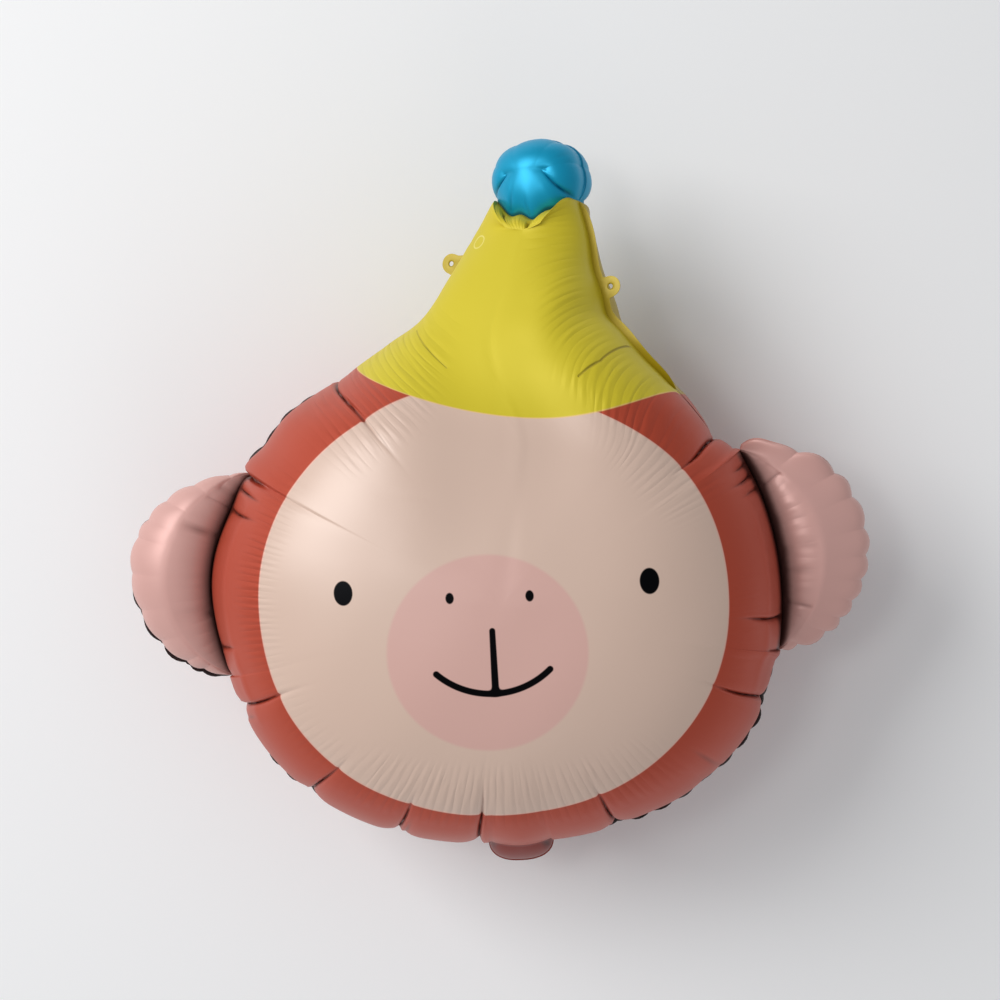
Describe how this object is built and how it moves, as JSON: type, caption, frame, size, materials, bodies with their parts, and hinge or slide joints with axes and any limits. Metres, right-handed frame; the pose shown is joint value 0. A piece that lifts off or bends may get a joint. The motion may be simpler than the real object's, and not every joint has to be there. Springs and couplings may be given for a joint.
{
  "type": "monkey foil balloon",
  "caption": "Inflated foil party balloon shaped as a monkey's head with round ears and a leaning party hat with a pompom, lying face up.",
  "frame": {"origin": "on the surface that the balloon lies on, under the middle of its footprint", "axes": "+Z out of the monkey's face, +Y up the face towards the hat, +X to the right of the face as the viewer sees it"},
  "size_m": [0.6188, 0.603, 0.2662],
  "materials": {
    "printed_film": "gloss"
  },
  "bodies": {
    "root": {"balloon_envelope": "printed_film"}
  },
  "joints": []
}
